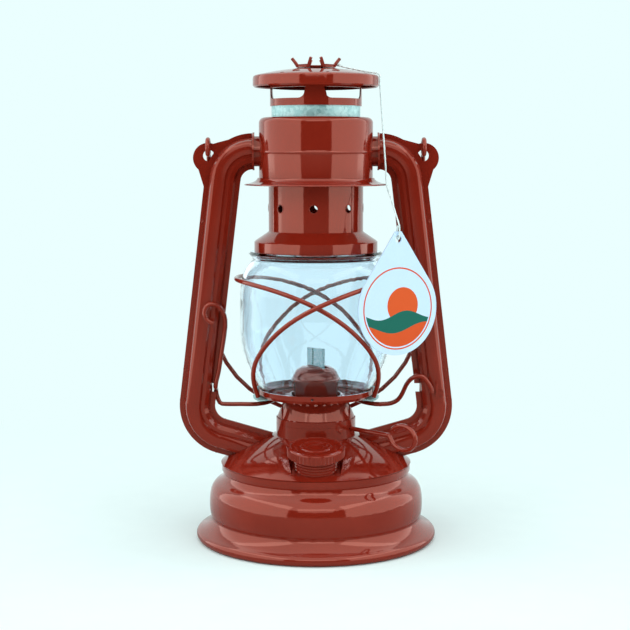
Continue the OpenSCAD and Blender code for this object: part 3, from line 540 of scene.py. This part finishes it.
coil_roof, coil_middle, coil_foot = 231.2, 215.2, 201.8
globe_travel, hood_travel = 12.3, 9.0
upper_coil = stamped("hood_spring", 0, 60, zinc, "frame")
bpy.ops.object.duplicate()
lower_coil = bpy.context.object
coil_halves = {
    "upper": (upper_coil, "frame", "globe_lift", globe_travel, coil_roof, coil_middle),
    "lower": (lower_coil, "globe_carrier", "hood_lift", hood_travel, coil_middle, coil_foot),
}
for half, (coil, body, joint, travel, held, foot) in coil_halves.items():
    coil.name = f"hood_spring_{half}"
    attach(coil, body)
    pick(coil)
    bpy.ops.object.mode_set(mode="EDIT")
    bpy.ops.mesh.select_all(action="SELECT")
    bpy.ops.mesh.bisect(
        plane_co=(0, 0, coil_middle * mm),
        plane_no=(0, 0, 1),
        use_fill=True,
        clear_inner=half == "upper",
        clear_outer=half == "lower",
    )
    bpy.ops.object.mode_set(mode="OBJECT")
    tall = held - foot
    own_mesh(coil)

# Hood: a cage cut from a ring, a domed lid with small holes, and a crown of curled tabs by which
# the hood is lifted.
for name in ("hood_cage", "hood_lid"):
    stamped(name, 0, 34, red, "hood")
stamped("hood_crown", 0.15, 34, red, "hood")
lid_weld_r, lid_weld_steps = 1.5, [(0, 0.3), (0.35, 0.05), (0.4, -0.3)]
lid_weld_reach, lid_weld_z, lid_weld_turns = 26, 255.98, (-112, -68, 68, 112)
lid_lean, lid_up = 0.19, Vector((0, 0, 0.982))
for i, turn in enumerate(lid_weld_turns):
    along = Vector((math.cos(math.radians(turn)), math.sin(math.radians(turn)), 0))
    round_head(
        f"lid_weld_{i}", lid_weld_r, lid_weld_steps,
        along * lid_weld_reach + Vector((0, 0, lid_weld_z)), along * lid_lean + lid_up, "hood",
    )

# Bail: one enamelled wire, bent to an arch with a hook at each end. The hooks go through the ears,
# and the arch hangs down behind the lantern.
stamped("bail", 0, 60, red, "bail")

# Tag: a drop-shaped card on a two-ply cotton string. The string is tied to the crown, lies over the
# lid's edge, and goes through the card's eye.
string_route = [
    (8.6, -0.6, 260.05), (11.2, -1.4, 259.95), (17, -3.2, 258.5), (24, -5.2, 257), (29, -6.3, 256),
    (32.73, -7.14, 255.35), (34.29, -7.48, 253.9), (34.4, -7.6, 250), (35.08, -8.55, 240),
    (35.77, -9.5, 230), (36.59, -10.64, 218), (37.34, -11.68, 207), (38.12, -12.76, 195.6),
    (40, -18, 189), (42.2, -24.7, 181), (43.87, -29.52, 175.1), (44.08, -29.86, 172.4),
    (44.03, -29.78, 170.2), (43.92, -29.6, 168.5), (43.41, -28.75, 167.5), (42.89, -27.89, 168.5),
    (42.74, -27.63, 170.2), (42.99, -28.06, 173), (43.2, -28.4, 174.6),
]
string_d, ply_sides, ply_turn, ply_waist, ply_swell = 1.0, 12, 0.6, 0.72, 0.28


def spline(points, steps):
    """Smooth points through a route, with the same spline as the solid's."""
    last = len(points) - 1
    line = []
    for i in range(last):
        a, b, c, d = (points[max(0, min(last, k))] for k in (i - 1, i, i + 1, i + 2))
        for j in range(steps):
            t = j / steps
            line.append(
                0.5 * (2 * b + (c - a) * t + (2 * a - 5 * b + 4 * c - d) * t * t
                       + (3 * b - a - 3 * c + d) * t * t * t)
            )
    return line + [points[last]]


def laid_string(name, line, thick):
    """Two plies laid round each other along a line. The groove between them is kept as crease."""
    verts, faces, crease = [], [], []
    side = Vector((0, 1, 0))
    for i, point in enumerate(line):
        ahead = (line[min(i + 1, len(line) - 1)] - line[max(i - 1, 0)]).normalized()
        side = (side - ahead * side.dot(ahead)).normalized()
        across = ahead.cross(side)
        lay = i * ply_turn
        for k in range(ply_sides):
            a = 2 * math.pi * k / ply_sides
            out = 0.5 * thick * (ply_waist + ply_swell * abs(math.cos(a)))
            verts.append(point + out * (math.cos(a + lay) * side + math.sin(a + lay) * across))
            crease.append(1 - abs(math.cos(a)))
    last_ring = (len(line) - 1) * ply_sides
    for ring in range(0, last_ring, ply_sides):
        above = ring + ply_sides
        for k in range(ply_sides):
            n = (k + 1) % ply_sides
            faces.append((ring + k, ring + n, above + n, above + k))
    faces.append(tuple(range(ply_sides))[::-1])
    faces.append(tuple(range(last_ring, last_ring + ply_sides)))
    mesh = bpy.data.meshes.new(name)
    mesh.from_pydata(verts, [], faces)
    mesh.attributes.new("crease", "FLOAT", "POINT").data.foreach_set("value", crease)
    mesh.update()
    laid = bpy.data.objects.new(name, mesh)
    scene.collection.objects.link(laid)
    pick(laid)
    bpy.ops.object.mode_set(mode="EDIT")
    bpy.ops.mesh.select_all(action="SELECT")
    bpy.ops.mesh.normals_make_consistent(inside=False)
    bpy.ops.object.mode_set(mode="OBJECT")
    bpy.ops.object.shade_smooth()
    return laid


line = spline([Vector(p) * mm for p in string_route], 12)
cord = laid_string("tag_cord", line, string_d * mm)
knot_x, knot_y, knot_z = 11.9, -1.6, 260.35
knot_r, knot_rise, knot_d, knot_steps = 0.42, 0.45, 0.85, 72
knot_line = []
for i in range(knot_steps + 1):
    t = 2 * math.pi * i / knot_steps
    knot_line.append(
        Vector((
            knot_x + knot_r * (math.sin(t) + 2 * math.sin(2 * t)),
            knot_y + knot_r * (math.cos(t) - 2 * math.cos(2 * t)),
            knot_z - knot_rise * math.sin(3 * t),
        )) * mm
    )
knot = laid_string("tag_cord_knot", knot_line, knot_d * mm)


def cotton_string(place):
    fibre = place.noise(2200, 3)
    groove = place.node("Attribute", {"attribute_name": "crease"}, {}, "Fac")
    yarn = fibre.mix((0.70, 0.88, 0.89, 1), (0.92, 1.0, 1.0, 1))
    return {
        # The groove between the plies is painted darker: painted shade in the crease, on top of the
        # narrower waist that the mesh already has.
        "Base Color": (groove * groove * 0.5).mix(yarn, (0.20, 0.42, 0.44, 1)),
        "Roughness": 0.9,
        "Normal": place.bump(fibre, 0.4, 0.0002),
    }


string = finish("cotton_string", cotton_string)
cord.data.materials.append(string)
knot.data.materials.append(string)
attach(knot, "hood")
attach(cord, "hood")
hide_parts("tag_string")


card_turn, card_side, card_mid = math.radians(-31), 22.4, 130.6
print_r, ring_in, ring_out = 20.5, 21.2, 22.0
sun_across, sun_high, sun_r = 3, 1.5, 9.8
far_swell, far_drop, near_swell, near_drop = 2.2, 3.5, 2.6, 10.5
sun_orange, hill_orange = (0.68, 0.09, 0.014, 1), (0.66, 0.08, 0.012, 1)
hill_green = (0.004, 0.13, 0.095, 1)


def printed_card(place):
    turned = place.node("Mapping", {}, {"Vector": place, "Rotation": (0, 0, card_turn)})
    across = turned.part("X") - card_side * mm
    high = turned.part("Z") - card_mid * mm
    flat = place.node("CombineXYZ", {}, {"X": across, "Y": high})
    reach = place.node("VectorMath", {"operation": "LENGTH"}, {0: flat}, "Value")
    fibre = place.noise(900, 4)
    wave = place.node("Math", {"operation": "SINE"}, {0: across * 190 + 0.6})
    swell = place.node("Math", {"operation": "SINE"}, {0: across * 150 - 1.1})
    print_area = reach < print_r * mm
    sun_mid = (sun_across * mm, sun_high * mm, 0)
    sun = place.node("VectorMath", {"operation": "DISTANCE"}, {0: flat, 1: sun_mid}, "Value")
    far_hill = (high < wave * (far_swell * mm) - far_drop * mm) * print_area
    near_hill = (high < swell * (near_swell * mm) - near_drop * mm) * print_area
    line_round = (reach > ring_in * mm) * (reach < ring_out * mm)
    paper = fibre.mix((0.53, 0.71, 0.91, 1), (0.59, 0.77, 0.96, 1))
    sunny = ((sun < sun_r * mm) * print_area).mix(paper, sun_orange)
    hilly = far_hill.mix(sunny, hill_green)
    picture = near_hill.mix(hilly, hill_orange)
    return {
        "Base Color": line_round.mix(picture, hill_orange),
        "Roughness": 0.5,
        "Specular IOR Level": 0.2,
        "Normal": place.bump(fibre, 0.05, 0.0003),
    }


tag = frame["nodes"]["hang_tag"]
tag.data.materials.clear()
tag.data.materials.append(finish("printed_card", printed_card))
length = sum((line[i + 1] - line[i]).length for i in range(len(line) - 1))
